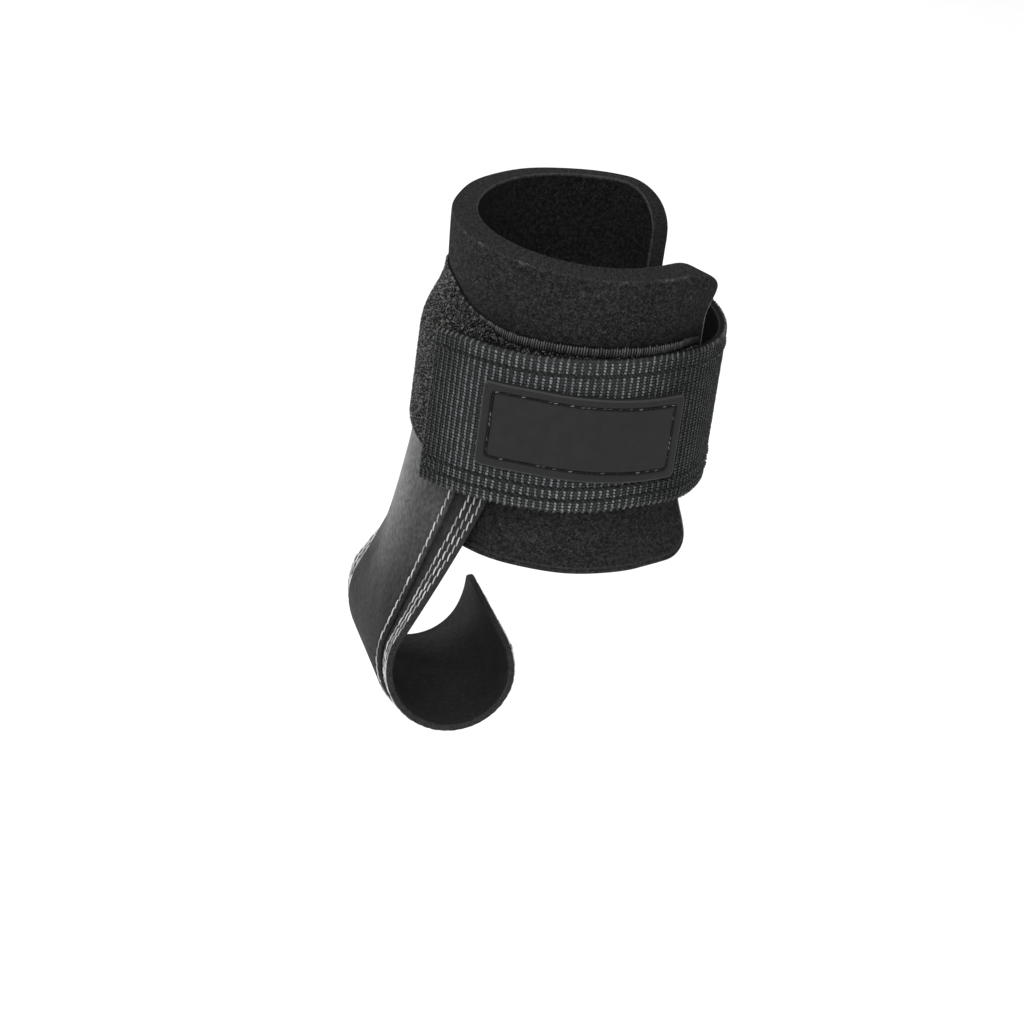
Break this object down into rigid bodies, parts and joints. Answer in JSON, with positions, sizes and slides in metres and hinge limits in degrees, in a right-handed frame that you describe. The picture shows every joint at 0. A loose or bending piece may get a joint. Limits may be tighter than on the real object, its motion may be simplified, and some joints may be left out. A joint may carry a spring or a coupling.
{
  "type": "lifting grip",
  "caption": "Worn lifting grip: a padded cuff closed by a webbing strap over loop tape, with a stitched leather flap bent to a hook that takes a bar.",
  "frame": {"origin": "middle of the cuff, on its axis, halfway up the pad", "axes": "+Z along the cuff's axis, away from the hook; -Y towards the front with the label; -X towards the side the flap hangs from"},
  "size_m": [0.0864, 0.0825, 0.1355],
  "materials": {
    "pad_knit": "matt knitted facing on foam",
    "backing_leather": "smooth, stitched along its edges",
    "face_leather": "smooth, soft sheen",
    "loop_pile": "brushed loop pile",
    "hook_tape": "nylon hooks",
    "webbing": "plain woven webbing",
    "patch_rubber": "matt moulded rubber"
  },
  "bodies": {
    "root": {"cuff_pad": "pad_knit", "flap_backing": "backing_leather", "flap_face": "face_leather", "loop_tape": "loop_pile", "hook_tape": "hook_tape", "closing_strap": "webbing", "label_patch": "patch_rubber"}
  },
  "joints": []
}
